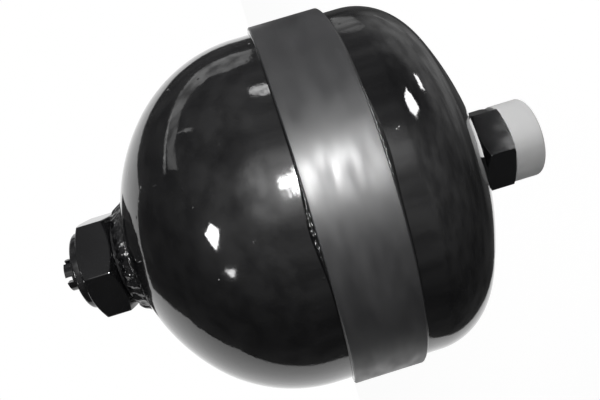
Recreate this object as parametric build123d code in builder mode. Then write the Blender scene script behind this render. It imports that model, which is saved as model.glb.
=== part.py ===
from build123d import *
from math import acos, atan2, degrees, radians, sqrt, tan
import os

# Diaphragm pressure accumulator, welded type, in millimetres.
# The axis is Z. The fluid port points down and the gas filling end points up.
# The origin is the centre of the joint band, on the seam between the two shells.

# Shells: each is a straight wall, a knuckle and a crown, and both share one wall.
# A knuckle is set by how far its centre lies from the axis, and a crown by how much
# its radius exceeds the shell's.
shell_radius = 50.7
shell_wall = 3.5
gas_straight = 14.1
gas_knuckle_centre = 8.1
gas_crown_excess = 3.2
fluid_straight = 15.5
fluid_knuckle_centre = 32.4
fluid_crown_excess = 31.5

# Seam between the shells: a groove closed by one weld ring
seam_root_face = 1.0
seam_half_angle = 30
seam_weld_underflush = 0.1

# Joint band over the seam, with a fine bead along each edge
band_wall = 1.75
band_width = 19.0
band_chamfer = 0.5
band_bead_height = 1.3
band_bead_leg = 1.5
band_bead_fullness = 0.7

# Gas end: boss welded to the shell, hexagon screwed in, cover disc and filling screw
gas_hole_radius = 11.7
gas_boss_radius = 12.8
gas_boss_proud = 2.3
gas_boss_inside = 1.2
gas_weld_radius = 17.0
gas_weld_below_top = 0.7
gas_weld_bulge = 0.7
gas_thread_radius = 9.0
gas_hex_across_flats = 27.0
gas_hex_height = 9.8
gas_shank_length = 7.8
gas_bore_radius = 1.5
gas_seal_section = 1.5
cover_disc_radius = 11.3
cover_disc_height = 2.6
cover_disc_edge = 0.7
fill_screw_radius = 3.0
fill_screw_length = 14.0
fill_screw_tip = 1.5
fill_seal_section = 1.3
fill_head_radius = 4.7
fill_head_height = 4.5
fill_slot_count = 5
fill_slot_width = 1.6
fill_slot_depth = 1.8
fill_slot_turn = -6
fill_socket_across_flats = 5.0
fill_socket_depth = 3.2

# Fluid end: port body welded to the shell, with a hexagon and a short male thread
port_hole_radius = 10.5
port_neck_radius = 11.0
port_neck_length = 1.9
port_hex_across_flats = 22.5
port_hex_height = 8.6
port_thread_radius = 10.0
port_thread_length = 7.6
port_thread_chamfer = 0.9
port_relief_width = 1.3
port_relief_depth = 1.1
port_bore_radius = 4.0
port_seat_proud = 0.6
port_seat_chamfer = 1.0
port_weld_radius = 15.8
port_weld_above_hex = 0.15
port_weld_bulge = 0.5

# Both hexagons: corners turned down at this angle, to this share of the half width;
# at the cap only the tips of the port hexagon are
hex_corner_angle = 30
hex_face_share = 0.96
port_face_share = 1.09

# Push-on cap over the port thread
cap_wall = 1.7
cap_end_wall = 1.2
cap_edge_radius = 0.8
cap_clearance = 0.1

# Diaphragm, as the gas charge leaves it: pressed down towards the fluid port
diaphragm_wall = 2.2
bead_width = 2.3
bead_depth = 5.5
ring_below_seam = 5.0
ring_above_seam = 6.5
ring_neck_wall = 2.0
ring_lip_rounding = 1.4
diaphragm_side_bend = 13.0
diaphragm_floor_bend = 16.0
diaphragm_floor_radius = 24.0
diaphragm_side_lift = 8.0

# Closing button, riveted through the middle of the diaphragm with a washer
button_radius = 9.0
button_height = 3.0
button_edge = 0.6
stem_radius = 3.0
washer_radius = 6.5
washer_height = 1.2
rivet_radius = 4.4
rivet_height = 1.0

# Gap left between pieces that are pressed, screwed or laid together
seat_gap = 0.05

# Radii that follow
shell_bore = shell_radius - shell_wall
gas_knuckle = shell_radius - gas_knuckle_centre
gas_crown = shell_radius + gas_crown_excess
fluid_knuckle = shell_radius - fluid_knuckle_centre
fluid_crown = shell_radius + fluid_crown_excess
band_bore = shell_radius + seat_gap
band_radius = band_bore + band_wall
cap_bore = port_thread_radius + cap_clearance
bead_bore = shell_bore - seat_gap - bead_width
ring_neck_radius = bead_bore - seat_gap
ring_bore = ring_neck_radius - ring_neck_wall
ring_lip_radius = min(ring_lip_rounding, 0.9 * ring_neck_wall)
diaphragm_shoulder_bend = ring_lip_radius + seat_gap + diaphragm_wall / 2


def crown_centre(straight, knuckle, crown):
    """Height of a crown's centre above the seam, where the crown meets the knuckle smoothly."""
    return straight - sqrt((crown - knuckle) ** 2 - (shell_radius - knuckle) ** 2)


gas_centre = crown_centre(gas_straight, gas_knuckle, gas_crown)
fluid_centre = crown_centre(fluid_straight, fluid_knuckle, fluid_crown)


def gas_height(radius, depth=0.0):
    """Height of the gas crown at a radius, or of the surface that lies depth under it."""
    return gas_centre + sqrt((gas_crown - depth) ** 2 - radius**2)


def fluid_height(radius, depth=0.0):
    """Height of the fluid crown at a radius: it is below the seam, so negative."""
    return -fluid_centre - sqrt((fluid_crown - depth) ** 2 - radius**2)


# Levels at the gas end, from the shell outwards
gas_seat_level = gas_height(gas_hole_radius)
gas_boss_top = gas_height(0) + gas_boss_proud
gas_boss_bottom = gas_height(gas_hole_radius, shell_wall) - gas_boss_inside
gas_hex_top = gas_boss_top + gas_hex_height
cover_disc_top = gas_hex_top + cover_disc_height
fill_screw_end = cover_disc_top - fill_screw_length

# Levels at the fluid end, from the shell outwards
port_seat_level = fluid_height(port_hole_radius, shell_wall) + port_seat_proud
port_shoulder_level = fluid_height(port_hole_radius)
port_hex_start = port_shoulder_level - port_neck_length
port_face_level = port_hex_start - port_hex_height
port_thread_end = port_face_level - port_thread_length

# Levels of the diaphragm and its closing button, from the button's seat upwards
button_bottom = port_seat_level + seat_gap
button_top = button_bottom + button_height
diaphragm_floor = button_top + seat_gap + diaphragm_wall / 2
washer_bottom = diaphragm_floor + diaphragm_wall / 2 + seat_gap
washer_top = washer_bottom + washer_height
bead_bottom = ring_above_seam - bead_depth
diaphragm_shoulder = ring_above_seam + seat_gap + diaphragm_wall / 2
diaphragm_side = ring_bore - seat_gap - diaphragm_wall / 2


def turned(points, mode=Mode.ADD):
    """Solid turned about Z from a closed outline of (radius, height) points."""
    with BuildSketch(Plane.XZ) as section:
        with BuildLine():
            Polyline(*points, close=True)
        make_face()
    revolve(section.sketch, axis=Axis.Z, mode=mode)


def shell_section(straight, knuckle, crown, centre, hole_radius):
    """Section of one shell, drawn above the seam, with the groove's bevel at its rim."""
    bevel = (shell_wall - seam_root_face) * tan(radians(seam_half_angle))
    bend = 90 - degrees(atan2(shell_radius - knuckle, straight - centre))
    outer_end = degrees(acos(hole_radius / crown))
    inner_end = degrees(acos(hole_radius / (crown - shell_wall)))
    knuckle_centre = (shell_radius - knuckle, straight)
    with BuildLine() as outline:
        Polyline(
            (shell_bore, straight),
            (shell_bore, 0),
            (shell_bore + seam_root_face, 0),
            (shell_radius, bevel),
            (shell_radius, straight),
        )
        CenterArc(knuckle_centre, knuckle, 0, bend)
        outside = CenterArc((0, centre), crown, bend, outer_end - bend)
        inside = CenterArc((0, centre), crown - shell_wall, inner_end, bend - inner_end)
        Line(outside @ 1, inside @ 0)
        CenterArc(knuckle_centre, knuckle - shell_wall, bend, -bend)
    make_face(outline.line)


def collar_weld_section(collar_radius, top, toe_radius, centre, crown, bulge):
    """Section of the weld between a collar and a crown, drawn above the seam."""
    root_angle = degrees(acos(collar_radius / crown))
    toe_angle = degrees(acos(toe_radius / crown))
    with BuildLine() as outline:
        foot = CenterArc((0, centre), crown, root_angle, toe_angle - root_angle)
        crest = Line(foot @ 1, (collar_radius, top), mode=Mode.PRIVATE)
        middle = crest @ 0.5 + (crest % 0.5).rotate(Axis.Z, -90) * bulge
        ThreePointArc(foot @ 1, middle, (collar_radius, top))
        Line((collar_radius, top), foot @ 0)
    make_face(outline.line)


def hexagon_bar(across_flats, bottom, top, bottom_share=hex_face_share):
    """Hexagon with a corner on X, its corners turned down at both ends."""
    with BuildSketch(Plane.XY.offset(bottom)) as blank:
        RegularPolygon(radius=across_flats / 2, side_count=6, major_radius=False)
    extrude(blank.sketch, amount=top - bottom)
    slope = tan(radians(hex_corner_angle))
    corner_radius = across_flats / sqrt(3)
    bottom_radius = across_flats / 2 * bottom_share
    top_radius = across_flats / 2 * hex_face_share
    outline = [
        (0, bottom),
        (bottom_radius, bottom),
        (corner_radius, bottom + (corner_radius - bottom_radius) * slope),
        (corner_radius, top - (corner_radius - top_radius) * slope),
        (top_radius, top),
        (0, top),
    ]
    turned(outline, mode=Mode.INTERSECT)


def seal_ring(inner_radius, level, section):
    """Round-section seal that lies against a shank, half its section above a level."""
    with BuildSketch(Plane.XZ) as cord:
        with Locations((inner_radius + seat_gap + section / 2, level + section / 2)):
            Circle(section / 2)
    revolve(cord.sketch, axis=Axis.Z)


# Gas shell: the deeper, nearly round half
with BuildPart() as gas_shell:
    with BuildSketch(Plane.XZ):
        shell_section(gas_straight, gas_knuckle, gas_crown, gas_centre, gas_hole_radius)
    revolve(axis=Axis.Z)

# Fluid shell: the shallower half, with a tight knuckle
with BuildPart() as fluid_shell:
    with BuildSketch(Plane.XZ):
        shell_section(fluid_straight, fluid_knuckle, fluid_crown, fluid_centre, port_hole_radius)
        mirror(about=Plane.XZ, mode=Mode.REPLACE)
    revolve(axis=Axis.Z)

# Girth weld: fills the groove between the shells, ground just under flush for the band
with BuildPart() as girth_weld:
    weld_face = shell_radius - seam_weld_underflush
    weld_root = shell_bore + seam_root_face
    weld_half = (weld_face - weld_root) * tan(radians(seam_half_angle))
    turned([(weld_root, 0), (weld_face, weld_half), (weld_face, -weld_half)])

# Joint band: rolled strip over the seam, its outer edges broken
with BuildPart() as joint_band:
    with BuildSketch(Plane.XY.offset(-band_width / 2)):
        Circle(band_radius)
        Circle(band_bore, mode=Mode.SUBTRACT)
    extrude(amount=band_width)
    outer_rims = joint_band.edges().filter_by(GeomType.CIRCLE).sort_by(SortBy.RADIUS)[-2:]
    chamfer(outer_rims, band_chamfer)


def band_bead_section():
    """Section of the bead that closes the band's upper edge against the shell."""
    edge = band_width / 2
    with BuildLine() as outline:
        crest = ThreePointArc(
            (shell_radius, edge + band_bead_leg),
            (
                shell_radius + band_bead_height * band_bead_fullness,
                edge + band_bead_leg * band_bead_fullness,
            ),
            (shell_radius + band_bead_height, edge),
        )
        Polyline(crest @ 1, (shell_radius, edge), crest @ 0)
    make_face(outline.line)


# Beads along the band's two edges
with BuildPart() as band_bead_gas:
    with BuildSketch(Plane.XZ):
        band_bead_section()
    revolve(axis=Axis.Z)

with BuildPart() as band_bead_fluid:
    with BuildSketch(Plane.XZ):
        band_bead_section()
        mirror(about=Plane.XZ, mode=Mode.REPLACE)
    revolve(axis=Axis.Z)

# Gas boss: collar seated on the edge of the shell's hole, bored for the hexagon's shank
with BuildPart() as gas_boss:
    boss_bore = gas_thread_radius + seat_gap
    seal_groove = gas_seal_section + 2 * seat_gap
    turned([
        (boss_bore, gas_boss_bottom),
        (gas_hole_radius - seat_gap, gas_boss_bottom),
        (gas_hole_radius - seat_gap, gas_seat_level),
        (gas_boss_radius, gas_seat_level),
        (gas_boss_radius, gas_boss_top),
        (gas_thread_radius + seal_groove, gas_boss_top),
        (gas_thread_radius + seal_groove, gas_boss_top - seal_groove),
        (boss_bore, gas_boss_top - seal_groove),
    ])

# Weld round the gas boss
with BuildPart() as gas_boss_weld:
    with BuildSketch(Plane.XZ):
        weld_top = gas_boss_top - gas_weld_below_top
        collar_weld_section(
            gas_boss_radius, weld_top, gas_weld_radius, gas_centre, gas_crown, gas_weld_bulge
        )
    revolve(axis=Axis.Z)

# Gas valve body: hexagon with a shank, bored for the filling screw and its seal
with BuildPart() as gas_valve_body:
    hexagon_bar(gas_hex_across_flats, gas_boss_top, gas_hex_top)
    with BuildSketch(Plane.XY.offset(gas_boss_top - gas_shank_length)):
        Circle(gas_thread_radius)
    extrude(amount=gas_shank_length)
    screw_bore = fill_screw_radius + seat_gap
    fill_groove = fill_seal_section + 2 * seat_gap
    turned(
        [
            (0, gas_boss_top - gas_shank_length),
            (gas_bore_radius, gas_boss_top - gas_shank_length),
            (gas_bore_radius, fill_screw_end - seat_gap),
            (screw_bore, fill_screw_end - seat_gap + fill_screw_tip),
            (screw_bore, gas_hex_top - fill_groove),
            (fill_screw_radius + fill_groove, gas_hex_top - fill_groove),
            (fill_screw_radius + fill_groove, gas_hex_top),
            (0, gas_hex_top),
        ],
        mode=Mode.SUBTRACT,
    )

# Seal under the hexagon
with BuildPart() as gas_body_seal:
    seal_ring(gas_thread_radius, gas_boss_top - seal_groove + seat_gap, gas_seal_section)

# Cover disc: round washer on the hexagon's end
with BuildPart() as gas_cover_disc:
    with BuildSketch(Plane.XY.offset(gas_hex_top)):
        Circle(cover_disc_radius)
        Circle(fill_screw_radius + seat_gap, mode=Mode.SUBTRACT)
    extrude(amount=cover_disc_height)
    outer_rim = gas_cover_disc.edges().filter_by(GeomType.CIRCLE).group_by(Axis.Z)[-1]
    fillet(outer_rim.sort_by(SortBy.RADIUS)[-1], cover_disc_edge)

# Filling screw: slotted crown head, plain shank and a cone that closes the gas bore
with BuildPart() as gas_fill_screw:
    turned([
        (0, fill_screw_end),
        (gas_bore_radius, fill_screw_end),
        (fill_screw_radius, fill_screw_end + fill_screw_tip),
        (fill_screw_radius, cover_disc_top),
        (fill_head_radius, cover_disc_top),
        (fill_head_radius, cover_disc_top + fill_head_height),
        (0, cover_disc_top + fill_head_height),
    ])
    with BuildSketch(Plane.XY.offset(cover_disc_top + fill_head_height)):
        with PolarLocations(fill_head_radius, fill_slot_count, start_angle=fill_slot_turn):
            Rectangle(fill_head_radius, fill_slot_width)
    extrude(amount=-fill_slot_depth, mode=Mode.SUBTRACT)
    with BuildSketch(Plane.XY.offset(cover_disc_top + fill_head_height)):
        RegularPolygon(radius=fill_socket_across_flats / 2, side_count=6, major_radius=False)
    extrude(amount=-fill_socket_depth, mode=Mode.SUBTRACT)

# Seal round the filling screw, under the cover disc
with BuildPart() as gas_fill_seal:
    seal_ring(fill_screw_radius, gas_hex_top - fill_groove + seat_gap, fill_seal_section)

# Port body: spigot in the shell, neck, hexagon, thread relief and male thread, bored through
with BuildPart() as port_body:
    hexagon_bar(port_hex_across_flats, port_face_level, port_hex_start, port_face_share)
    relief_radius = port_thread_radius - port_relief_depth
    turned([
        (0, port_seat_level),
        (port_hole_radius - seat_gap, port_seat_level),
        (port_hole_radius - seat_gap, port_shoulder_level),
        (port_neck_radius, port_shoulder_level),
        (port_neck_radius, port_hex_start),
        (relief_radius, port_hex_start),
        (relief_radius, port_face_level - port_relief_width),
        (port_thread_radius, port_face_level - port_relief_width),
        (port_thread_radius, port_thread_end + port_thread_chamfer),
        (port_thread_radius - port_thread_chamfer, port_thread_end),
        (0, port_thread_end),
    ])
    with BuildSketch(Plane.XY.offset(port_thread_end)):
        Circle(port_bore_radius)
    extrude(amount=port_seat_level - port_thread_end, mode=Mode.SUBTRACT)
    bore_mouths = port_body.edges().filter_by(GeomType.CIRCLE).sort_by(SortBy.RADIUS)[:2]
    chamfer(bore_mouths, port_seat_chamfer)

# Weld round the port body
with BuildPart() as port_weld:
    with BuildSketch(Plane.XZ):
        weld_top = -port_hex_start - port_weld_above_hex
        collar_weld_section(
            port_neck_radius, weld_top, port_weld_radius, fluid_centre, fluid_crown, port_weld_bulge
        )
        mirror(about=Plane.XZ, mode=Mode.REPLACE)
    revolve(axis=Axis.Z)

# Port cap: thin cup pushed over the thread
with BuildPart() as port_cap:
    cap_rim = port_face_level - seat_gap
    cap_floor = port_thread_end - cap_clearance
    with BuildSketch(Plane.XY.offset(cap_floor - cap_end_wall)):
        Circle(cap_bore + cap_wall)
    extrude(amount=cap_rim - cap_floor + cap_end_wall)
    fillet(port_cap.edges().group_by(Axis.Z)[0], cap_edge_radius)
    with BuildSketch(Plane.XY.offset(cap_floor)):
        Circle(cap_bore)
    extrude(amount=cap_rim - cap_floor, mode=Mode.SUBTRACT)

# Retaining ring: backs the girth weld and clamps the diaphragm's bead against the gas shell
with BuildPart() as retaining_ring:
    turned([
        (ring_bore, -ring_below_seam),
        (shell_bore - seat_gap, -ring_below_seam),
        (shell_bore - seat_gap, bead_bottom - seat_gap),
        (ring_neck_radius, bead_bottom - seat_gap),
        (ring_neck_radius, ring_above_seam),
        (ring_bore, ring_above_seam),
    ])
    ring_lip = retaining_ring.edges().filter_by(GeomType.CIRCLE).group_by(Axis.Z)[-1]
    fillet(ring_lip.sort_by(SortBy.RADIUS)[0], ring_lip_radius)

# Diaphragm: clamped bead, shoulder over the ring, side wall and floor
with BuildPart() as diaphragm:
    with BuildSketch(Plane.XZ):
        with BuildLine():
            FilletPolyline(
                (bead_bore + bead_width / 2, diaphragm_shoulder),
                (diaphragm_side, diaphragm_shoulder),
                (diaphragm_side, diaphragm_floor + diaphragm_side_lift),
                (diaphragm_floor_radius, diaphragm_floor),
                (stem_radius + seat_gap, diaphragm_floor),
                radius=[diaphragm_shoulder_bend, diaphragm_side_bend, diaphragm_floor_bend],
            )
        trace(line_width=diaphragm_wall)
        bead_height = diaphragm_shoulder + diaphragm_wall / 2 - bead_bottom
        with Locations((bead_bore + bead_width / 2, bead_bottom + bead_height / 2)):
            Rectangle(bead_width, bead_height)
    revolve(axis=Axis.Z)

# Closing button: disc that closes the port when the vessel is empty, with its riveted stem
with BuildPart() as closing_button:
    turned([
        (0, button_bottom),
        (button_radius - button_edge, button_bottom),
        (button_radius, button_bottom + button_edge),
        (button_radius, button_top),
        (stem_radius, button_top),
        (stem_radius, washer_top),
        (rivet_radius, washer_top),
        (rivet_radius, washer_top + rivet_height),
        (0, washer_top + rivet_height),
    ])

# Washer between the rivet head and the diaphragm
with BuildPart() as button_washer:
    with BuildSketch(Plane.XY.offset(washer_bottom)):
        Circle(washer_radius)
        Circle(stem_radius + seat_gap, mode=Mode.SUBTRACT)
    extrude(amount=washer_height)

pieces = {
    "gas_shell": gas_shell,
    "fluid_shell": fluid_shell,
    "girth_weld": girth_weld,
    "joint_band": joint_band,
    "band_bead_gas": band_bead_gas,
    "band_bead_fluid": band_bead_fluid,
    "gas_boss": gas_boss,
    "gas_boss_weld": gas_boss_weld,
    "gas_valve_body": gas_valve_body,
    "gas_body_seal": gas_body_seal,
    "gas_cover_disc": gas_cover_disc,
    "gas_fill_screw": gas_fill_screw,
    "gas_fill_seal": gas_fill_seal,
    "port_body": port_body,
    "port_weld": port_weld,
    "port_cap": port_cap,
    "retaining_ring": retaining_ring,
    "diaphragm": diaphragm,
    "closing_button": closing_button,
    "button_washer": button_washer,
}

os.makedirs("parts", exist_ok=True)
for name, piece in pieces.items():
    piece.part.label = name
    export_step(piece.part, f"parts/{name}.step")
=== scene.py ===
import math
from functools import partial

import bmesh
import bpy
import numpy as np
from bpy.props import FloatProperty, FloatVectorProperty, IntProperty, PointerProperty
from mathutils import Matrix, Vector, noise


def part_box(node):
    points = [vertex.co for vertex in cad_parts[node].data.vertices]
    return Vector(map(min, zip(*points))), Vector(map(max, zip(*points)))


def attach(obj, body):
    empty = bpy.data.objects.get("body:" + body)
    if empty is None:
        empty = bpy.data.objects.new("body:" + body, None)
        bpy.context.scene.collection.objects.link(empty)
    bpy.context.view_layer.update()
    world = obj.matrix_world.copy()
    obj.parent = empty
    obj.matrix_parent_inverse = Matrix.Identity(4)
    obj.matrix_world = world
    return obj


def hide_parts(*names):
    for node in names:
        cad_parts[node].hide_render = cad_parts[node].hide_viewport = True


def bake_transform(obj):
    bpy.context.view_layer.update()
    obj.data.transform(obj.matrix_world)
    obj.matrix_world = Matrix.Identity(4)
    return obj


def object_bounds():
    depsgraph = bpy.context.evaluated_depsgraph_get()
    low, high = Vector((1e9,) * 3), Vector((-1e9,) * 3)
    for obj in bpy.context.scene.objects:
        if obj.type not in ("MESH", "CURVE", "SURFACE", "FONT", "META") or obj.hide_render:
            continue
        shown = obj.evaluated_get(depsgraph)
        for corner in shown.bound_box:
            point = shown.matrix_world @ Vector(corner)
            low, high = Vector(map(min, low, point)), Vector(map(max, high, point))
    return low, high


bl_info = {
    "name": "Pressure accumulator",
    "version": (1, 0, 0),
    "blender": (4, 5, 0),
    "location": "3D View > Sidebar > Accumulator",
    "description": "Dresses a welded diaphragm accumulator: paint, welds, fittings and studio",
    "category": "Object",
}

MM = 0.001
TURN = 2 * math.pi
SIXTH = TURN / 6

# Sizes that more than one piece takes. GAP lies between pieces that fit into each other
GAP = 0.05 * MM
GAS_HOLE = 11.7 * MM
PORT_HOLE = 10.5 * MM
UNDER_BAND = 9.5 * MM
GAS_SHANK = 9 * MM
SCREW_SHANK = 3 * MM

# Place of the edge material in a hexagon's list of materials. Its lighter grey is paint wear and also a
# painted highlight line along the edges
WORN_AND_HIGHLIT_EDGE = 1

# How far the bright windows stand from the object, in metres
WINDOW_DISTANCE = 0.9

# Kinds of setting
Length = partial(FloatProperty, unit="LENGTH", precision=5)
Angle = partial(FloatProperty, subtype="ANGLE")
Colour = partial(FloatVectorProperty, subtype="COLOR", size=3)
Place = partial(FloatVectorProperty, subtype="TRANSLATION", size=3)

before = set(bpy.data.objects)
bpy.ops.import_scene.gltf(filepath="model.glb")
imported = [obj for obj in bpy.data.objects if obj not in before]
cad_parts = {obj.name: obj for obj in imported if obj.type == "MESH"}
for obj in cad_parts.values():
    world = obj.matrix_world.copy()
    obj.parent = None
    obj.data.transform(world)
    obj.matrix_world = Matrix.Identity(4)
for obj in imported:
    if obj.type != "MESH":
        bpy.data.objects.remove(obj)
cad_low, cad_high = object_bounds()


class ShellSettings(bpy.types.PropertyGroup):
    """Form and paint of the two shells"""

    radius: Length(name="Radius", description="Outside radius of both shells", default=50.7 * MM)
    wall: Length(name="Wall", description="Wall of both shells", default=3.5 * MM)
    gas_straight: Length(
        name="Gas straight", description="Straight wall of the gas shell above the seam", default=14.1 * MM,
    )
    gas_knuckle: Length(
        name="Gas knuckle", description="Radius between the gas shell's wall and crown", default=42.6 * MM,
    )
    gas_crown: Length(name="Gas crown", description="Radius of the gas shell's crown", default=53.9 * MM)
    fluid_straight: Length(
        name="Fluid straight", description="Straight wall of the fluid shell below the seam",
        default=15.5 * MM,
    )
    fluid_knuckle: Length(
        name="Fluid knuckle", description="Radius between the fluid shell's wall and crown",
        default=18.3 * MM,
    )
    fluid_crown: Length(
        name="Fluid crown", description="Radius of the fluid shell's crown", default=82.2 * MM,
    )
    waviness: Length(
        name="Waviness", description="How far the pressed and painted wall strays from true",
        default=0.02 * MM, precision=6,
    )
    gas_dust: FloatProperty(
        name="Gas shell dust", description="Share of light that the dust on the gas shell spreads",
        default=0.07, subtype="FACTOR",
    )
    fluid_dust: FloatProperty(
        name="Fluid shell dust", description="The same for the fluid shell", default=0.03, subtype="FACTOR",
    )
    paint: Colour(name="Paint", description="Colour of the gloss paint", default=(0.0045, 0.0045, 0.005))


class BandSettings(bpy.types.PropertyGroup):
    """The joint band and the beads along its edges"""

    chamfer: Length(
        name="Chamfer", description="Broken outer edges of the band, filled up by the paint",
        default=0.25 * MM,
    )
    bead_height: Length(
        name="Bead height", description="How far a bead stands off the shell", default=1.15 * MM,
    )
    gas_bead_leg: Length(
        name="Gas bead leg", description="How far the bead reaches along the gas shell", default=0.3 * MM,
    )
    fluid_bead_leg: Length(
        name="Fluid bead leg", description="How far the bead reaches along the fluid shell",
        default=0.7 * MM,
    )
    gas_bead_ripple: Length(
        name="Gas bead ripple", description="Height of the ripples on the gas side's bead",
        default=0.28 * MM,
    )
    fluid_bead_ripple: Length(
        name="Fluid bead ripple", description="Height of the ripples on the fluid side's bead",
        default=0.12 * MM,
    )
    bead_ripples: IntProperty(
        name="Bead ripples", description="Ripples round a bead", default=150,
    )
    gas_ripples_show: Angle(
        name="Gas ripples show", description="Where one of the gas bead's three rippled lengths lies",
        default=math.radians(2),
    )
    fluid_ripples_show: Angle(
        name="Fluid ripples show", description="The same for the fluid side's bead",
        default=math.radians(17),
    )
    paint: Colour(
        name="Paint", description="Colour of the band's satin paint", default=(0.019, 0.019, 0.0205),
    )


class FittingSettings(bpy.types.PropertyGroup):
    """Hexagons, welds and filling screw"""

    gas_across_flats: Length(
        name="Gas hexagon", description="Across flats of the gas hexagon", default=27 * MM,
    )
    port_across_flats: Length(
        name="Port hexagon", description="Across flats of the port hexagon", default=22.5 * MM,
    )
    face_share: FloatProperty(
        name="Face share", description="Hexagon face radius as a share of half the flats", default=0.96,
    )
    port_face_share: FloatProperty(
        name="Port face share", description="The same for the port hexagon's face under the cap",
        default=1.09,
    )
    corner_angle: Angle(
        name="Corner angle", description="Slope of the turned corners", default=math.radians(30),
    )
    edge_round: Length(
        name="Edge round", description="Rounding of the hexagons' painted edges", default=0.22 * MM,
    )
    weld_ripple: Length(
        name="Weld ripple", description="Height of the ripples on the collar welds", default=0.55 * MM,
    )
    weld_ripples: IntProperty(
        name="Weld ripples", description="Ripples round a collar weld", default=34,
    )
    screw_slots: IntProperty(
        name="Screw slots", description="Slots across the filling screw's head", default=5,
    )
    slot_width: Length(
        name="Slot width", description="Width of a slot in the filling screw's head", default=1.6 * MM,
    )
    slot_depth: Length(
        name="Slot depth", description="Depth of the slots in the filling screw's head", default=1.8 * MM,
    )
    socket_flats: Length(
        name="Socket", description="Across flats of the filling screw's socket", default=5 * MM,
    )
    socket_depth: Length(
        name="Socket depth", description="Depth of the filling screw's socket", default=3.2 * MM,
    )
    thread_pitch: Length(name="Thread pitch", description="Pitch of the port thread", default=1.5 * MM)
    paint: Colour(
        name="Paint", description="Colour of the paint on the fittings", default=(0.0055, 0.0055, 0.006),
    )
    # Lighter grey of the hexagons' edges: paint wear, and a painted highlight line along the edges
    worn_and_highlit_edges: Colour(
        name="Worn edge", description="Colour of the edges where the paint is thin",
        default=(0.1, 0.1, 0.105),
    )
    cap_colour: Colour(name="Cap", description="Colour of the port cap's plastic", default=(0.5, 0.5, 0.5))


class InnerSettings(bpy.types.PropertyGroup):
    """The rubber diaphragm inside the vessel"""

    rubber_wall: Length(name="Rubber wall", description="Thickness of the diaphragm", default=2.2 * MM)
    diaphragm_radius: Length(
        name="Diaphragm radius", description="Radius of the middle of the diaphragm's wall",
        default=41.65 * MM,
    )
    cone_rise: Length(
        name="Cone rise", description="How far the diaphragm's bottom rises to its wall", default=8 * MM,
    )
    flat_radius: Length(name="Flat radius", description="Radius of the flat middle", default=24 * MM)
    flat_hole: Length(
        name="Flat hole", description="Radius of the hole for the closing button", default=3.05 * MM,
    )
    roll_radius: Length(
        name="Roll radius", description="Bend from the clamped rim into the wall", default=2.55 * MM,
    )
    side_radius: Length(
        name="Side radius", description="Bend from the wall into the bottom", default=13 * MM,
    )
    base_radius: Length(
        name="Base radius", description="Bend from the bottom's slope into its flat middle",
        default=16 * MM,
    )
    bead_width: Length(name="Bead width", description="Width of the clamped bead", default=2.3 * MM)
    bead_drop: Length(name="Bead drop", description="Height of the clamped bead", default=7.75 * MM)
    still_down_to: Length(
        name="Still down to", description="Level above which the wall stays against the shell",
        default=-4.5 * MM,
    )
    rubber: Colour(name="Rubber", description="Colour of the diaphragm", default=(0.02, 0.02, 0.02))


class StageSettings(bpy.types.PropertyGroup):
    """Camera, floor and light"""

    camera_place: Place(
        name="Camera place", description="Where the camera stands",
        default=(175.0 * MM, 28.55 * MM, 14.87 * MM),
    )
    camera_target: Place(
        name="Camera target", description="The point in the middle of the picture",
        default=(-0.18 * MM, 1.54 * MM, 8.95 * MM),
    )
    camera_up: FloatVectorProperty(
        name="Camera up", description="The direction that is up in the picture",
        default=(-0.1362, 0.9472, -0.2903), subtype="DIRECTION", size=3,
    )
    lens: FloatProperty(
        name="Lens", description="Focal length on a 36 mm sensor, in millimetres", default=36,
    )
    floor_drop: Length(
        name="Floor drop", description="Room under the port cap, so that it can be pulled off",
        default=31 * MM,
    )
    ambient: FloatProperty(
        name="Ambient", description="Light that the white surroundings give to matt surfaces", default=0.15,
    )


SETTINGS = {
    "accumulator_shells": ShellSettings,
    "accumulator_band": BandSettings,
    "accumulator_fittings": FittingSettings,
    "accumulator_inner": InnerSettings,
    "accumulator_stage": StageSettings,
}


def arc(centre, radius, start, end, count):
    """Points of an arc in the (radius, height) plane, its angles in degrees."""
    angles = np.radians(np.linspace(start, end, count))
    return [(centre[0] + radius * math.cos(a), centre[1] + radius * math.sin(a)) for a in angles]


def rounded(points, radii, count=6):
    """Closed outline whose corners are rounded to the given radii."""
    outline = []
    corners = [Vector(p) for p in points]
    for i, (corner, radius) in enumerate(zip(corners, radii)):
        if radius <= 0:
            outline.append(tuple(corner))
            continue
        before = (corners[i - 1] - corner).normalized()
        after = (corners[(i + 1) % len(corners)] - corner).normalized()
        half = before.angle(after) / 2
        reach = radius / math.tan(half)
        centre = corner + (before + after).normalized() * (radius / math.sin(half))
        start = corner + before * reach - centre
        end = corner + after * reach - centre
        for step in range(count + 1):
            share = step / count
            direction = start.lerp(end, share).normalized()
            outline.append(tuple(centre + direction * radius))
    return outline


def dense(outline, spacing):
    """Closed outline with points added, so that no run is longer than the spacing."""
    points = []
    for i, start in enumerate(outline):
        end = outline[(i + 1) % len(outline)]
        steps = max(1, math.ceil(math.dist(start, end) / spacing))
        for step in range(steps):
            share = step / steps
            points.append((
                start[0] + (end[0] - start[0]) * share,
                start[1] + (end[1] - start[1]) * share,
            ))
    return points


def round_axis(angle, radius, height):
    """Point at an angle round Z."""
    return Vector((radius * math.cos(angle), radius * math.sin(angle), height))


def noise_round(angle, patches, level):
    """Noise that closes on itself round Z. More patches make it finer, level picks another one."""
    return noise.noise(round_axis(angle, patches, level))


def placed(name, data):
    """New object in the scene."""
    piece = bpy.data.objects.new(name, data)
    bpy.context.scene.collection.objects.link(piece)
    return piece


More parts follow.
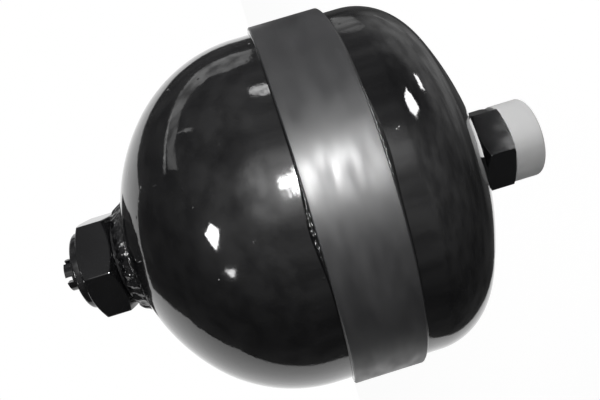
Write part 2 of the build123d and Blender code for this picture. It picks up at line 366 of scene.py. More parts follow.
def mesh_object(name, vertices, faces, sharp_angle=None):
    """Object from vertices and faces, smooth apart from edges sharper than the angle."""
    mesh = bpy.data.meshes.new(name)
    mesh.from_pydata([tuple(v) for v in vertices], [], faces)
    work = bmesh.new()
    work.from_mesh(mesh)
    bmesh.ops.remove_doubles(work, verts=work.verts, dist=1e-7)
    bmesh.ops.dissolve_degenerate(work, edges=work.edges, dist=1e-8)
    bmesh.ops.recalc_face_normals(work, faces=work.faces)
    work.to_mesh(mesh)
    work.free()
    mesh.shade_smooth()
    if sharp_angle is not None:
        mesh.set_sharp_from_angle(angle=math.radians(sharp_angle))
    return placed(name, mesh)


def ring_faces(rings, count, closed=False):
    """Faces between neighbouring rows of points round the axis. A closed row ends at its start."""
    faces = []
    for k in range(rings):
        near, far = k * count, (k + 1) % rings * count
        for i in range(count if closed else count - 1):
            j = (i + 1) % count
            faces.append((near + i, far + i, far + j, near + j))
    return faces


def turned(name, outline, segments, shape=None, sharp_angle=None):
    """Piece turned about Z from a closed outline. shape moves a point, given its angle."""
    vertices = []
    for k in range(segments):
        angle = TURN * k / segments
        for radius, height in outline:
            if shape:
                radius, height = shape(angle, radius, height)
            vertices.append(round_axis(angle, radius, height))
    return mesh_object(name, vertices, ring_faces(segments, len(outline), True), sharp_angle)


def dressed(piece, node, body, material):
    """The piece stands for a CAD node: it gets the material, goes under the body's empty, and the node is
    hidden.
    """
    piece.data.materials.append(material)
    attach(piece, body)
    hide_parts(node)
    return piece


def repaint(node, material):
    """Gives a CAD node that keeps its own shape a better material."""
    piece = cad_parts[node]
    if not piece.material_slots:
        raise RuntimeError(f"{node} has no material slot")
    for material_slot in piece.material_slots:
        material_slot.link = "OBJECT"
        material_slot.material = material


def add_node(tree, kind, inputs=None, **settings):
    """Adds a node to a material, sets its options and joins or sets its inputs."""
    made = tree.nodes.new(kind)
    for key, value in settings.items():
        setattr(made, key, value)
    for key, value in (inputs or {}).items():
        if isinstance(value, bpy.types.NodeSocket):
            tree.links.new(value, made.inputs[key])
        else:
            made.inputs[key].default_value = value
    return made


class Finish:
    """A node material: a Principled shader with the textures that are added to it."""

    def __init__(self, name, **values):
        self.material = bpy.data.materials.new(name)
        self.material.use_nodes = True
        self.tree = self.material.node_tree
        self.shader = self.tree.nodes["Principled BSDF"]
        for socket, value in values.items():
            self.shader.inputs[socket.replace("_", " ")].default_value = value
        self.place = self.tree.nodes.new("ShaderNodeTexCoord").outputs["Object"]
        self.bump = None

    def node(self, kind, inputs=None, **settings):
        """Adds a node to this material."""
        return add_node(self.tree, kind, inputs, **settings)

    def grain(self, scale, detail=3.0, roughness=0.55, stretch=(1, 1, 1), seed=0.0):
        """Noise in the piece's own space, in grains per metre, stretched if asked."""
        mapped = self.node(
            "ShaderNodeMapping",
            {"Vector": self.place, "Scale": stretch, "Location": (seed, seed, seed)},
        )
        return self.node(
            "ShaderNodeTexNoise",
            {"Vector": mapped.outputs[0], "Scale": scale, "Detail": detail, "Roughness": roughness},
        ).outputs["Fac"]

    def spread(self, value, low, high, to_low, to_high):
        """Maps a value from one range to another, clamped."""
        return self.node(
            "ShaderNodeMapRange",
            {"Value": value, "From Min": low, "From Max": high, "To Min": to_low, "To Max": to_high},
        ).outputs[0]

    def blend(self, share, first, second):
        """Mixes two colours by a share."""
        mix = self.node("ShaderNodeMix", data_type="RGBA")
        self.tree.links.new(share, mix.inputs["Factor"])
        for key, value in (("A", first), ("B", second)):
            socket = [s for s in mix.inputs if s.name == key and s.type == "RGBA"][0]
            if isinstance(value, bpy.types.NodeSocket):
                self.tree.links.new(value, socket)
            else:
                socket.default_value = (*value, 1.0)
        return [s for s in mix.outputs if s.type == "RGBA"][0]

    def tint(self, texture, colour, dark, light):
        """Colours the piece between a darker and a lighter shade, as a texture says."""
        self.set("Base Color", self.blend(texture, shaded(colour, dark), shaded(colour, light)))

    def set(self, socket, value):
        """Joins a texture to one of the shader's sockets."""
        self.tree.links.new(value, self.shader.inputs[socket])

    def relief(self, height, depth, strength=1.0):
        """Adds a bump of the given depth in metres over the bumps before it."""
        inputs = {"Height": height, "Distance": depth, "Strength": strength}
        if self.bump:
            inputs["Normal"] = self.bump
        self.bump = self.node("ShaderNodeBump", inputs).outputs[0]
        self.set("Normal", self.bump)


def shaded(colour, factor):
    """A colour made lighter or darker."""
    return tuple(c * factor for c in colour)


def gloss_paint(name, colour, dust):
    """Thick gloss black paint: deep, slightly wavy, with dust nibs and a faint haze of dust."""
    finish = Finish(name, Roughness=0.05, IOR=1.5, Coat_Weight=dust, Coat_Roughness=0.35)
    broad = finish.grain(35, detail=2)
    finish.tint(broad, colour, 1, 1.5)
    haze = finish.spread(finish.grain(60, detail=4), 0.35, 0.75, 0.045, 0.11)
    finish.set("Roughness", haze)
    finish.relief(finish.grain(230, detail=2, roughness=0.4), 0.05 * MM, 0.45)
    nib = finish.node("ShaderNodeTexVoronoi", {"Vector": finish.place, "Scale": 170.0})
    finish.relief(finish.spread(nib.outputs["Distance"], 0.02, 0.07, 1, 0), 0.12 * MM, 0.6)
    finish.relief(finish.grain(1100, detail=1), 0.012 * MM, 0.6)
    return finish.material


def band_paint(colour):
    """Satin paint on rolled strip, that has run in dull streaks round the band."""
    finish = Finish("satin_band_paint", Roughness=0.32, IOR=1.5, Specular_IOR_Level=0.7)
    cloud = finish.grain(55, detail=5, roughness=0.65)
    finish.tint(finish.spread(cloud, 0.3, 0.7, 0, 1), colour, 0.8, 1.25)
    streak = finish.grain(95, detail=1, stretch=(1, 1, 3.2), seed=3.0)
    finish.set("Roughness", finish.spread(streak, 0.25, 0.75, 0.35, 0.52))
    finish.relief(streak, 0.1 * MM, 0.5)
    finish.relief(finish.grain(900, detail=2), 0.008 * MM, 0.5)
    return finish.material


def bead_paint(name, colour, roughness, depth):
    """Paint on the run of weld along an edge of the band."""
    finish = Finish(name, Roughness=roughness, IOR=1.5)
    lumps = finish.grain(260, detail=2)
    finish.tint(lumps, colour, 0.8, 1.3)
    finish.relief(lumps, depth, 0.6)
    return finish.material


def weld_paint(colour):
    """Black paint that has run over a coarse weld, glossy on its crests."""
    finish = Finish("painted_weld", Roughness=0.12, IOR=1.5)
    lumps = finish.grain(420, detail=3)
    finish.tint(lumps, colour, 1, 1.8)
    finish.set("Roughness", finish.spread(lumps, 0.3, 0.7, 0.06, 0.16))
    finish.relief(finish.grain(330, detail=2), 0.9 * MM, 0.8)
    finish.relief(finish.grain(1300, detail=1), 0.06 * MM, 0.6)
    return finish.material


def fitting_paint(colour):
    """Semi-gloss black paint over machined faces."""
    finish = Finish("painted_fittings", Roughness=0.08, IOR=1.5)
    cloud = finish.grain(120, detail=4)
    finish.tint(cloud, colour, 1, 1.7)
    finish.set("Roughness", finish.spread(cloud, 0.3, 0.7, 0.05, 0.13))
    finish.relief(finish.grain(420, detail=2), 0.02 * MM, 0.4)
    return finish.material


def worn_and_highlight_paint(colour):
    """Edges of the hexagons, where the black paint is thin and grey from wear. The grey, lighter than the
    flats, also paints in the highlight line along the edges.
    """
    finish = Finish("worn_and_highlit_edge", Roughness=0.35, IOR=1.5)
    wear_and_highlight_grain = finish.grain(800, detail=3)
    finish.tint(wear_and_highlight_grain, colour, 0.4, 1.4)
    finish.relief(wear_and_highlight_grain, 0.02 * MM, 0.5)
    return finish.material


def cap_plastic(colour):
    """Matt moulded plastic."""
    finish = Finish("cap_plastic", Roughness=0.6, IOR=1.46)
    cloud = finish.grain(90, detail=3)
    finish.tint(cloud, colour, 0.96, 1.03)
    finish.relief(finish.grain(2200, detail=2), 0.012 * MM, 0.4)
    return finish.material


def turned_steel(name, tone):
    """Machined steel with fine marks round the axis."""
    finish = Finish(name, Metallic=1.0, Roughness=0.32)
    marks = finish.grain(900, detail=2, stretch=(0.1, 0.1, 3))
    finish.tint(marks, tone, 0.85, 1.1)
    finish.set("Roughness", finish.spread(marks, 0.3, 0.7, 0.25, 0.42))
    return finish.material


def moulded_rubber(name, tone):
    """Dull black moulded rubber."""
    finish = Finish(name, Roughness=0.7, IOR=1.45)
    bloom = finish.grain(150, detail=4)
    finish.tint(bloom, tone, 1, 1.6)
    finish.relief(finish.grain(1400, detail=2), 0.02 * MM, 0.4)
    return finish.material


def crown_centre(radius, straight, knuckle, crown):
    """Height of a crown's centre above the seam."""
    return straight - math.sqrt((crown - knuckle) ** 2 - (radius - knuckle) ** 2)


def shell_outline(straight, knuckle, crown, hole_radius):
    """Section of a shell above the seam, outside first, from the seam to the hole and back."""
    shells = bpy.context.scene.accumulator_shells
    radius, wall = shells.radius, shells.wall
    centre = crown_centre(radius, straight, knuckle, crown)
    bend = 90 - math.degrees(math.atan2(radius - knuckle, straight - centre))
    outer_end = math.degrees(math.acos(hole_radius / crown))
    inner_end = math.degrees(math.acos(hole_radius / (crown - wall)))
    knuckle_centre = (radius - knuckle, straight)
    outline = [(radius, UNDER_BAND * step / 5) for step in range(6)]
    outline += [(radius, UNDER_BAND + (straight - UNDER_BAND) * step / 6) for step in range(1, 6)]
    outline += arc(knuckle_centre, knuckle, 0, bend, 40)
    outline += arc((0, centre), crown, bend, outer_end, 40)[1:]
    outline += arc((0, centre), crown - wall, inner_end, bend, 14)
    outline += arc(knuckle_centre, knuckle - wall, bend, 0, 14)[1:]
    return outline + [(radius - wall, 0)]


def crown_height(radius, crown, centre):
    """Height of a crown's surface at a radius."""
    return centre + math.sqrt(crown**2 - radius**2)


def waved(amount, scale, seed):
    """Moves points of a turned wall in and out by a smooth, slow noise."""
    def shape(angle, radius, height):
        place = round_axis(angle, radius, height) * scale
        push = noise.noise(place + Vector((seed, seed, seed))) * amount
        return radius + push, height
    return shape


class ACCUMULATOR_OT_shells(bpy.types.Operator):
    """Make the gas shell and the fluid shell"""

    bl_idname = "accumulator.shells"
    bl_label = "Shells"

    def execute(self, context):
        shells = context.scene.accumulator_shells
        for node, straight, knuckle, crown, hole, side, seed, dust in (
            ("gas_shell", shells.gas_straight, shells.gas_knuckle, shells.gas_crown,
             GAS_HOLE, 1, 2.0, shells.gas_dust),
            ("fluid_shell", shells.fluid_straight, shells.fluid_knuckle, shells.fluid_crown,
             PORT_HOLE, -1, 7.0, shells.fluid_dust),
        ):
            outline = shell_outline(straight, knuckle, crown, hole)
            outline = [(radius, height * side) for radius, height in outline]
            wall = turned(f"{node}_wall", outline, 200, waved(shells.waviness, 45, seed), 40)
            paint = gloss_paint(f"{node}_paint", shells.paint, dust)
            dressed(wall, node, "vessel", paint)
        return {"FINISHED"}


def rippled_bead(name, side, phase, leg, height_of_ripple, ripples_show, spread_of_ripples):
    """A bead along one edge of the band, wider and rippled like weld on three lengths of it."""
    band = bpy.context.scene.accumulator_band
    shells = bpy.context.scene.accumulator_shells
    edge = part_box("joint_band")[1].z
    root = shells.radius
    outline = [(root - GAP, edge), (root - GAP, edge + leg)]
    outline += [
        (root + band.bead_height * math.sin(a), edge + leg * math.cos(a))
        for a in np.radians(range(6, 91, 12))
    ]

    def shape(angle, radius, height):
        if radius <= root:
            return radius, height * side
        wander = noise_round(angle, 9, phase)
        bare = max(0.0, math.cos(3 * (angle - ripples_show))) ** 8
        height = edge + (height - edge) * (1 + spread_of_ripples * bare)
        ripple = abs(math.sin(angle * band.bead_ripples / 2 + 3 * wander + phase))
        grain = noise_round(angle, 60, height / MM)
        stretch = (radius - root) / band.bead_height
        lift = height_of_ripple * (bare * (ripple - 1) + (0.2 + bare) * 0.7 * grain) * stretch
        return radius + lift + 0.1 * MM * wander * stretch, height * side

    return turned(name, outline, 960, shape)


class ACCUMULATOR_OT_band(bpy.types.Operator):
    """Make the joint band and its two beads"""

    bl_idname = "accumulator.band"
    bl_label = "Joint band"

    def execute(self, context):
        band = context.scene.accumulator_band
        shells = context.scene.accumulator_shells
        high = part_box("joint_band")[1]
        outer, half = high.x, high.z
        inner = shells.radius + GAP
        cut = band.chamfer
        soft = 0.08 * MM
        outline = dense(rounded(
            [(inner, -half), (outer - cut, -half), (outer, cut - half),
             (outer, half - cut), (outer - cut, half), (inner, half)],
            [0, soft, soft, soft, soft, 0], 3,
        ), 1.5 * MM)
        strip = turned("joint_band_strip", outline, 240, waved(0.015 * MM, 90, 4.0), 50)
        dressed(strip, "joint_band", "vessel", band_paint(band.paint))
        gas_finish = bead_paint("gas_bead_paint", shells.paint, roughness=0.14, depth=0.1 * MM)
        bead = rippled_bead(
            "gas_bead_run", side=1, phase=0.0, leg=band.gas_bead_leg,
            height_of_ripple=band.gas_bead_ripple, ripples_show=band.gas_ripples_show,
            spread_of_ripples=3.5,
        )
        dressed(bead, "band_bead_gas", "vessel", gas_finish)
        fluid_finish = bead_paint("fluid_bead_paint", shells.paint, roughness=0.2, depth=0.14 * MM)
        bead = rippled_bead(
            "fluid_bead_run", side=-1, phase=2.3, leg=band.fluid_bead_leg,
            height_of_ripple=band.fluid_bead_ripple, ripples_show=band.fluid_ripples_show,
            spread_of_ripples=1.0,
        )
        dressed(bead, "band_bead_fluid", "vessel", fluid_finish)
        return {"FINISHED"}


def hexagon(name, across_flats, bottom, top, bottom_share):
    """Hexagon with a corner on X, corners turned down at both ends, edges softened."""
    fittings = bpy.context.scene.accumulator_fittings
    apothem = across_flats / 2
    low_face = apothem * bottom_share
    high_face = apothem * fittings.face_share
    slope = math.tan(fittings.corner_angle)
    segments = 180
    rows = 4
    vertices = []
    for k in range(segments):
        angle = TURN * k / segments
        reach = apothem / math.cos(angle % SIXTH - SIXTH / 2)
        rim = min(low_face, reach)
        low = bottom + (reach - rim) * slope
        high = top - (reach - high_face) * slope
        section = [(0, bottom), (rim * 0.5, bottom), (rim, bottom)]
        section += [(reach, low + (high - low) * row / rows) for row in range(rows + 1)]
        section += [(high_face, top), (high_face * 0.5, top), (0, top)]
        vertices += [round_axis(angle, radius, height) for radius, height in section]
    piece = mesh_object(name, vertices, ring_faces(segments, len(section)))
    bevel = piece.modifiers.new("edge_round", "BEVEL")
    bevel.width = fittings.edge_round
    bevel.segments = 2
    bevel.limit_method = "ANGLE"
    bevel.angle_limit = math.radians(20)
    bevel.use_clamp_overlap = True
    # Bevel faces take the lighter edge material, which paints a highlight line along the edges
    bevel.material = WORN_AND_HIGHLIT_EDGE
    return piece


def apply_modifiers(piece):
    """Keeps the mesh that the modifiers make."""
    graph = bpy.context.evaluated_depsgraph_get()
    mesh = bpy.data.meshes.new_from_object(piece.evaluated_get(graph))
    piece.modifiers.clear()
    piece.data = mesh
    return piece


def join(pieces, name, sharp_angle):
    """Joins pieces into one object, with edges sharper than the angle kept crisp."""
    work = bmesh.new()
    for piece in pieces:
        work.from_mesh(piece.data)
        bpy.data.objects.remove(piece)
    mesh = bpy.data.meshes.new(name)
    work.to_mesh(mesh)
    work.free()
    mesh.set_sharp_from_angle(angle=math.radians(sharp_angle))
    return placed(name, mesh)


def worn_and_highlit_edges(piece, material):
    """Gives the piece's rounded edges their own, lighter material: wear, and a painted highlight line along
    them.
    """
    piece.data.materials.append(material)
    return piece


def collar_weld(name, collar, top, toe, crown, centre, side, phase):
    """Lumpy weld between a collar and a crown, with overlapping ripples round it."""
    fittings = bpy.context.scene.accumulator_fittings
    foot = crown_height(toe, crown, centre)
    steps = 14
    swell = 0.12
    sag = 0.16
    outline = []
    for step in range(steps + 1):
        share = step / steps
        outline.append((
            collar + (toe - collar) * (share + swell * math.sin(math.pi * share)),
            top + (foot - top) * (share - sag * math.sin(math.pi * share)),
        ))
    for step in range(1, 6):
        radius = toe + (collar - toe) * step / 5
        outline.append((radius, crown_height(radius, crown, centre) - 0.1 * MM))
    span = toe - collar

    def shape(angle, radius, height):
        ground = crown_height(min(radius, toe), crown, centre)
        across = (radius - collar) / span
        loft = max(0.0, height - ground)
        if loft <= 0 and across < 0.99:
            return radius, height * side
        bow = 0.55 * math.sin(math.pi * min(max(across, 0), 1))
        ripple = abs(math.sin(angle * fittings.weld_ripples / 2 + bow + phase)) ** 0.8
        lump = noise_round(angle, 4, phase)
        grain = noise_round(angle, 16, across * 3)
        fade = math.sin(math.pi * min(max(across, 0.04), 0.98)) ** 0.6
        lift = fittings.weld_ripple * (ripple - 0.75 + 0.8 * lump + 0.7 * grain) * fade
        return radius + lift * 0.6, (height + lift) * side

    return turned(name, outline, 360, shape)


class ACCUMULATOR_OT_gas_end(bpy.types.Operator):
    """Make the gas boss, its weld, the hexagon and the cover disc"""

    bl_idname = "accumulator.gas_end"
    bl_label = "Gas end"

    def execute(self, context):
        fittings = context.scene.accumulator_fittings
        shells = context.scene.accumulator_shells
        material = fitting_paint(fittings.paint)
        low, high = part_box("gas_boss")
        centre = crown_centre(
            shells.radius, shells.gas_straight, shells.gas_knuckle, shells.gas_crown
        )
        seat = crown_height(GAS_HOLE, shells.gas_crown, centre)
        bore = GAS_SHANK + GAP
        spigot = GAS_HOLE - GAP
        outline = rounded(
            [(bore, low.z), (spigot, low.z), (spigot, seat), (high.x, seat),
             (high.x, high.z), (bore, high.z)],
            [0, 0, 0, 0, 0.3 * MM, 0], 3,
        )
        boss = turned("gas_boss_collar", outline, 120, sharp_angle=40)
        dressed(boss, "gas_boss", "vessel", material)
        weld_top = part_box("gas_boss_weld")[1]
        weld = collar_weld(
            "gas_boss_weld_run", high.x - 0.15 * MM, weld_top.z, weld_top.x,
            shells.gas_crown, centre, side=1, phase=0.4,
        )
        dressed(weld, "gas_boss_weld", "vessel", weld_paint(fittings.paint))
        low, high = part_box("gas_valve_body")
        boss_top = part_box("gas_boss")[1].z
        body = apply_modifiers(
            hexagon("hex", fittings.gas_across_flats, boss_top, high.z, fittings.face_share)
        )
        shank = turned(
            "shank", [(0, low.z), (GAS_SHANK, low.z), (GAS_SHANK, boss_top), (0, boss_top)], 96
        )
        valve = join([body, shank], "gas_hexagon", 12)
        dressed(valve, "gas_valve_body", "vessel", material)
        # Lighter edge material on the bevels: wear and a painted highlight line
        worn_and_highlit_edges(valve, worn_and_highlight_paint(fittings.worn_and_highlit_edges))
        low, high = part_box("gas_cover_disc")
        hole = SCREW_SHANK + GAP
        outline = rounded(
            [(hole, low.z), (high.x, low.z), (high.x, high.z), (hole, high.z)],
            [0, 0.15 * MM, 0.75 * MM, 0.2 * MM], 6,
        )
        disc = turned("gas_cover_washer", dense(outline, 1.2 * MM), 144, waved(0.03 * MM, 260, 1.0), 50)
        dressed(disc, "gas_cover_disc", "vessel", material)
        return {"FINISHED"}


class ACCUMULATOR_OT_filling_screw(bpy.types.Operator):
    """Make the filling screw with its slotted crown head"""

    bl_idname = "accumulator.filling_screw"
    bl_label = "Filling screw"

    def execute(self, context):
        fittings = context.scene.accumulator_fittings
        low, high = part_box("gas_fill_screw")
        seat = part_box("gas_cover_disc")[1].z
        tip = 1.5 * MM
        floor = high.z - fittings.slot_depth
        socket_floor = high.z - fittings.socket_depth
        apothem = fittings.socket_flats / 2
        half = fittings.slot_width / 2
        sector = TURN / fittings.screw_slots
        turn = math.radians(-6)
        across, along = 6, 18
        columns = [(slot, True, step / across) for slot in range(fittings.screw_slots)
                   for step in range(across + 1)]
        columns += [(slot, False, step / along) for slot in range(fittings.screw_slots)
                    for step in range(along + 1)]
        columns.sort(key=lambda column: (column[0], not column[1], column[2]))
        levels = [
            (0, low.z), (SCREW_SHANK - tip, low.z), (SCREW_SHANK, low.z + tip), (SCREW_SHANK, seat),
            (high.x, seat), (high.x, floor), (high.x, high.z), (apothem, high.z),
            (apothem, floor), (apothem, socket_floor), (0, socket_floor),
        ]
        vertices = []
        for slot, cut, share in columns:
            for i, (radius, height) in enumerate(levels):
                edge = math.asin(min(1.0, half / max(radius, apothem)))
                if cut:
                    angle = math.asin((2 * share - 1) * math.sin(edge))
                    height = min(height, floor) if i >= 5 else height
                else:
                    angle = edge + share * (sector - 2 * edge)
                angle += slot * sector + turn
                if radius == apothem:
                    radius = apothem / math.cos(angle % SIXTH - SIXTH / 2)
                vertices.append(round_axis(angle, radius, height))
        faces = ring_faces(len(columns), len(levels))
        screw = mesh_object("gas_filling_screw", vertices, faces, 35)
        dressed(
            screw, "gas_fill_screw", "vessel", fitting_paint(fittings.paint)
        )
        return {"FINISHED"}


def threaded_wall(name, radius, low, high, pitch, depth):
    """Wall of an outside thread between two levels, its ends turned down."""
    segments = 120
    rows = math.ceil((high - low) / (pitch / 12))
    vertices = []
    for k in range(segments):
        angle = TURN * k / segments
        for row in range(rows + 1):
            height = low + (high - low) * row / rows
            phase = (height / pitch - k / segments) % 1.0
            groove = max(0.0, min(1.0, (1 - abs(2 * phase - 1)) * 1.35 - 0.15))
            reach = radius - depth * groove
            lead = min(height - low, high - height) + radius - depth
            vertices.append(round_axis(angle, min(reach, lead), height))
    return mesh_object(name, vertices, ring_faces(segments, rows + 1), 50)


class ACCUMULATOR_OT_port_end(bpy.types.Operator):
    """Make the port body with its thread, and the weld round it"""

    bl_idname = "accumulator.port_end"
    bl_label = "Port end"

    def execute(self, context):
        fittings = context.scene.accumulator_fittings
        shells = context.scene.accumulator_shells
        low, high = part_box("port_body")
        centre = crown_centre(
            shells.radius, shells.fluid_straight, shells.fluid_knuckle, shells.fluid_crown
        )
        shoulder = -crown_height(PORT_HOLE, shells.fluid_crown, centre)
        collar_height = 1.9 * MM
        hexagon_height = 8.6 * MM
        start = shoulder - collar_height
        face = start - hexagon_height
        neck = 11 * MM
        thread = 10 * MM
        relief = 8.9 * MM
        bore = 4 * MM
        mouth = 1 * MM
        hexed = apply_modifiers(
            hexagon("hex", fittings.port_across_flats, face, start, fittings.port_face_share)
        )
        spigot = PORT_HOLE - GAP
        stem = turned("stem", [
            (bore, low.z + mouth), (bore + mouth, low.z), (thread - 0.9 * MM, low.z),
            (relief, low.z + 0.4 * MM), (relief, face), (relief, start), (neck, start),
            (neck, shoulder), (spigot, shoulder), (spigot, high.z),
            (bore + mouth, high.z), (bore, high.z - mouth),
        ], 96, sharp_angle=30)
        wall = threaded_wall(
            "wall", thread, low.z + 0.02 * MM, face - 1.3 * MM, fittings.thread_pitch, 0.92 * MM
        )
        body = join([hexed, stem, wall], "port_hexagon", 12)
        dressed(
            body, "port_body", "vessel", fitting_paint(fittings.paint)
        )
        # Lighter edge material on the bevels: wear and a painted highlight line
        worn_and_highlit_edges(body, worn_and_highlight_paint(fittings.worn_and_highlit_edges))
        weld_low, weld_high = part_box("port_weld")
        weld = collar_weld(
            "port_weld_run", neck - 0.1 * MM, -weld_low.z, weld_high.x,
            shells.fluid_crown, centre, side=-1, phase=1.9,
        )
        dressed(weld, "port_weld", "vessel", weld_paint(fittings.paint))
        return {"FINISHED"}


class ACCUMULATOR_OT_port_cap(bpy.types.Operator):
    """Make the push-on cap over the port thread"""

    bl_idname = "accumulator.port_cap"
    bl_label = "Port cap"

    def execute(self, context):
        fittings = context.scene.accumulator_fittings
        low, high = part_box("port_cap")
        bore = 10.1 * MM
        end_wall = 1.2 * MM
        outline = rounded(
            [(0, low.z), (high.x, low.z), (high.x, high.z), (bore, high.z),
             (bore, low.z + end_wall), (0, low.z + end_wall)],
            [0, 0.8 * MM, 0.18 * MM, 0.18 * MM, 0.3 * MM, 0], 6,
        )
        cap = turned("port_cap_cup", dense(outline, 1.5 * MM), 144, waved(0.012 * MM, 120, 5.0), 50)
        dressed(cap, "port_cap", "cap", cap_plastic(fittings.cap_colour))
        return {"FINISHED"}


def sheet_section(line, wall):
    """Closed outline of a sheet of even wall along an open line."""
    sides = ([], [])
    for i, point in enumerate(line):
        before = Vector(line[max(i - 1, 0)])
        after = Vector(line[min(i + 1, len(line) - 1)])
        along = (after - before).normalized()
        across = Vector((-along.y, along.x)) * wall / 2
        sides[0].append(tuple(Vector(point) + across))
        sides[1].append(tuple(Vector(point) - across))
    return sides[0] + sides[1][::-1]


class ACCUMULATOR_OT_diaphragm(bpy.types.Operator):
    """Make the rubber diaphragm in one still shape; the real one turns inside out as its middle moves"""

    bl_idname = "accumulator.diaphragm"
    bl_label = "Diaphragm"

    def execute(self, context):
        inner = context.scene.accumulator_inner
        low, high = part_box("diaphragm")
        half = inner.rubber_wall / 2
        rim = high.z - half
        base = low.z + half
        clamp = inner.diaphragm_radius
        line = rounded(
            [(high.x - inner.bead_width / 2, rim), (clamp, rim), (clamp, base + inner.cone_rise),
             (inner.flat_radius, base), (inner.flat_hole, base)],
            [0, inner.roll_radius, inner.side_radius, inner.base_radius, 0], 10,
        )
        section = dense(sheet_section(line, inner.rubber_wall), 1.5 * MM)
        sheet = turned("sheet", section, 120, sharp_angle=50)
        bead = turned("bead", rounded(
            [(high.x - inner.bead_width, high.z - inner.bead_drop), (high.x, high.z - inner.bead_drop),
             (high.x, high.z), (high.x - inner.bead_width, high.z)],
            [0.4 * MM] * 4, 4,
        ), 120)
        rubber = join([sheet, bead], "diaphragm_rubber_sheet", 50)
        rubber.data.materials.append(moulded_rubber("diaphragm_rubber", inner.rubber))
        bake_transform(rubber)
        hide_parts("diaphragm")
        return {"FINISHED"}


class ACCUMULATOR_OT_inner_parts(bpy.types.Operator):
    """Finish the parts inside the vessel"""

    bl_idname = "accumulator.inner_parts"
    bl_label = "Inner parts"

    def execute(self, context):
        steel = turned_steel("inner_steel", (0.55, 0.54, 0.52))
        for node in ("retaining_ring", "closing_button", "button_washer"):
            repaint(node, steel)
        repaint("girth_weld", turned_steel("bare_weld_steel", (0.3, 0.29, 0.28)))
        seal = moulded_rubber("seal_rubber", (0.012, 0.012, 0.012))
        for node in ("gas_body_seal", "gas_fill_seal"):
            repaint(node, seal)
        return {"FINISHED"}


def glow(name, strength):
    """Light-giving material. strength is a value, or a function that works it out in nodes."""
    material = bpy.data.materials.new(name)
    material.use_nodes = True
    tree = material.node_tree
    tree.nodes.clear()
    level = strength(tree) if callable(strength) else strength
    emission = add_node(tree, "ShaderNodeEmission", {"Color": (1, 1, 1, 1), "Strength": level})
    add_node(tree, "ShaderNodeOutputMaterial", {"Surface": emission.outputs[0]})
    return material


def only_reflected(piece):
    """A stage piece that shows in reflections alone."""
    piece.visible_camera = False
    piece.visible_diffuse = False
    piece.visible_shadow = False
    piece.visible_transmission = False
    return piece


def towards(around, rise):
    """Unit direction from its angle round Z, counted from X, and its angle above the XY plane."""
    a, b = math.radians(around), math.radians(rise)
    return Vector((math.cos(b) * math.cos(a), math.cos(b) * math.sin(a), math.sin(b)))


def light_card(name, vertices, faces, strength, uneven=None):
    """Card of light with the given outline, seen in reflections alone. uneven sets patches per metre."""
    def patchy(tree):
        place = add_node(tree, "ShaderNodeTexCoord").outputs["Object"]
        return mottled(tree, place, uneven, 0.45 * strength, 1.35 * strength)

    mesh = bpy.data.meshes.new(name)
    mesh.from_pydata([tuple(v) for v in vertices], [], faces)
    mesh.materials.append(glow(name, patchy if uneven else strength))
    return only_reflected(placed(name, mesh))


def window(name, corners, strength, uneven=None):
    """Bright window pane whose corners lie in the given directions."""
    vertices = [towards(*corner) * WINDOW_DISTANCE for corner in corners]
    return light_card(name, vertices, [tuple(range(len(corners)))], strength, uneven)


def curved_window(name, outer, inner, strength, uneven=None):
    """Long window that bends between two edges, each given by as many directions."""
    vertices = [towards(*stop) * WINDOW_DISTANCE for pair in zip(outer, inner) for stop in pair]
    faces = [(2 * i, 2 * i + 1, 2 * i + 3, 2 * i + 2) for i in range(len(outer) - 1)]
    return light_card(name, vertices, faces, strength, uneven)


def soft_lamp(name, around, rise, distance, size, power):
    """Rectangular lamp that faces the object and shows in no reflection."""
    lamp = bpy.data.lights.new(name, "AREA")
    lamp.shape = "RECTANGLE"
    lamp.size, lamp.size_y = size
    lamp.energy = power
    holder = placed(name, lamp)
    direction = towards(around, rise)
    holder.location = direction * distance
    holder.rotation_euler = direction.to_track_quat("Z", "Y").to_euler()
    holder.visible_glossy = False


def combine(tree, operation, first, second):
    """Joins two values in a material by one step of arithmetic."""
    return add_node(tree, "ShaderNodeMath", {0: first, 1: second}, operation=operation).outputs[0]


def seen_directly(tree):
    """One where the camera, a reflection or glass sees the surface, nought where it only lights."""
    path = add_node(tree, "ShaderNodeLightPath")
    seen = path.outputs["Is Camera Ray"]
    for ray in ("Is Glossy Ray", "Is Transmission Ray"):
        seen = combine(tree, "MAXIMUM", seen, path.outputs[ray])
    return seen


def white_world(ambient):
    """World that the camera, metal and glass see white, and matt surfaces see dimmer."""
    world = bpy.data.worlds.new("white_surroundings")
    world.use_nodes = True
    tree = world.node_tree
    tree.nodes.clear()
    strength = add_node(
        tree, "ShaderNodeMapRange", {"Value": seen_directly(tree), "To Min": ambient, "To Max": 1}
    )
    background = add_node(
        tree, "ShaderNodeBackground", {"Color": (1, 1, 1, 1), "Strength": strength.outputs[0]}
    )
    add_node(tree, "ShaderNodeOutputWorld", {"Surface": background.outputs[0]})
    bpy.context.scene.world = world


